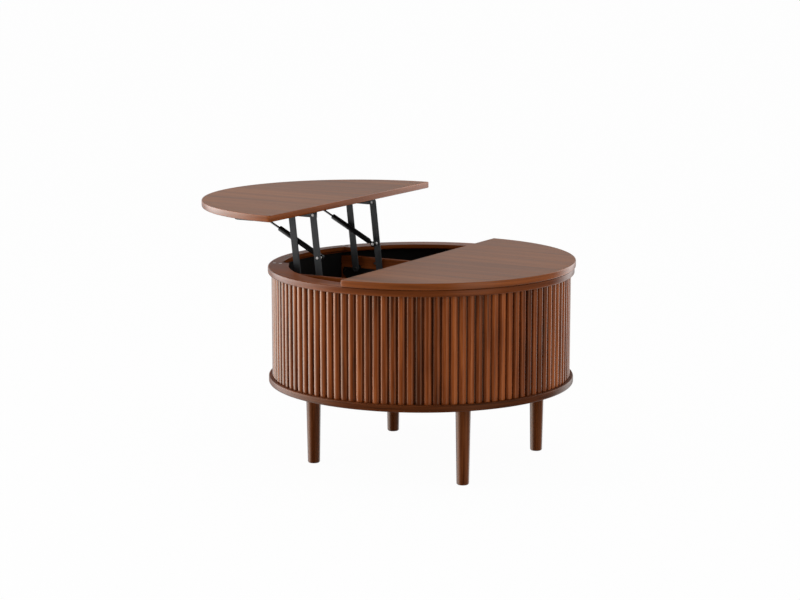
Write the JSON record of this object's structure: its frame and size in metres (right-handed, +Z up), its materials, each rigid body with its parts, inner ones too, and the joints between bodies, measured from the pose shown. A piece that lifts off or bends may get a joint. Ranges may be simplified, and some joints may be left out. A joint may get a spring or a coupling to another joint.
{
  "type": "round lift top coffee table",
  "caption": "Round coffee table with a slatted storage drum on tapered legs; half of its top rises and moves out on parallel-arm lift units with gas struts.",
  "frame": {"origin": "on the floor, under the middle of the box round the table with its lift top raised", "axes": "+Z up, +Y from the lift half towards the fixed half, +X to the right of a person who sits at the lift half and looks along +Y"},
  "size_m": [0.6998, 0.8764, 0.5854],
  "materials": {
    "walnut_top": "satin walnut veneer",
    "walnut_dark": "satin dark walnut stain",
    "walnut_board": "matt walnut veneer",
    "black_liner": "matt black paint",
    "grey_steel": "dark grey powder coat",
    "zinc": "zinc plated",
    "black_steel": "gloss black paint",
    "dark_rod": "dark nitrided steel"
  },
  "bodies": {
    "cabinet": {"base_board": "walnut_dark", "drum_liner": "black_liner", "tambour_slats": "walnut_dark", "top_ring": "walnut_top", "fixed_top": "walnut_top", "mechanism_board_left": "walnut_board", "mechanism_board_right": "walnut_board", "base_bracket_left": "grey_steel", "base_bracket_right": "grey_steel", "leg_front_left": "walnut_dark", "leg_front_right": "walnut_dark", "leg_back_left": "walnut_dark", "leg_back_right": "walnut_dark", "leg_bolt_front_left": "zinc", "leg_bolt_front_right": "zinc", "leg_bolt_back_left": "zinc", "leg_bolt_back_right": "zinc", "rear_base_pin_left": "zinc", "rear_base_pin_right": "zinc", "front_base_pin_left": "zinc", "front_base_pin_right": "zinc", "stop_pin_left": "zinc", "stop_pin_right": "zinc"},
    "rear_arms": {"rear_arm_left": "grey_steel", "rear_arm_right": "grey_steel", "strut_stud_left": "zinc", "strut_stud_right": "zinc"},
    "front_arms": {"front_arm_left": "grey_steel", "front_arm_right": "grey_steel"},
    "lid": {"lift_top": "walnut_top", "top_bracket_left": "grey_steel", "top_bracket_right": "grey_steel", "rear_top_pin_left": "zinc", "rear_top_pin_right": "zinc", "front_top_pin_left": "zinc", "front_top_pin_right": "zinc"},
    "strut_tubes": {"strut_tube_left": "black_steel", "strut_tube_right": "black_steel"},
    "strut_rods": {"strut_rod_left": "dark_rod", "strut_rod_right": "dark_rod"}
  },
  "joints": [
    {"name": "lift", "type": "hinge", "parent": "cabinet", "child": "rear_arms", "pos_m": [0, -0.09934, 0.39791], "axis": [-1, 0, 0], "range_deg": [0, 83.7]},
    {"name": "lid_level", "type": "hinge", "parent": "rear_arms", "child": "lid", "pos_m": [0, -0.11768, 0.55887], "axis": [1, 0, 0], "range_deg": [0, 83.7]},
    {"name": "front_swing", "type": "hinge", "parent": "cabinet", "child": "front_arms", "pos_m": [0, -0.16134, 0.39791], "axis": [-1, 0, 0], "range_deg": [0, 83.7]},
    {"name": "strut_swing", "type": "hinge", "parent": "rear_arms", "child": "strut_tubes", "pos_m": [0, -0.10658, 0.4615], "axis": [1, 0, 0], "range_deg": [0, 100.9]},
    {"name": "strut_stroke", "type": "slide", "parent": "strut_tubes", "child": "strut_rods", "axis": [0, 0.887, -0.4617], "range_m": [0, 0.0827]}
  ],
  "couplings": [
    {"joint": "lid_level", "follows": "lift", "ratio": 1},
    {"joint": "front_swing", "follows": "lift", "ratio": 1},
    {"joint": "strut_swing", "follows": "lift", "ratio": 1.2054},
    {"joint": "strut_stroke", "follows": "lift", "m_per_rad": 0.056581}
  ]
}
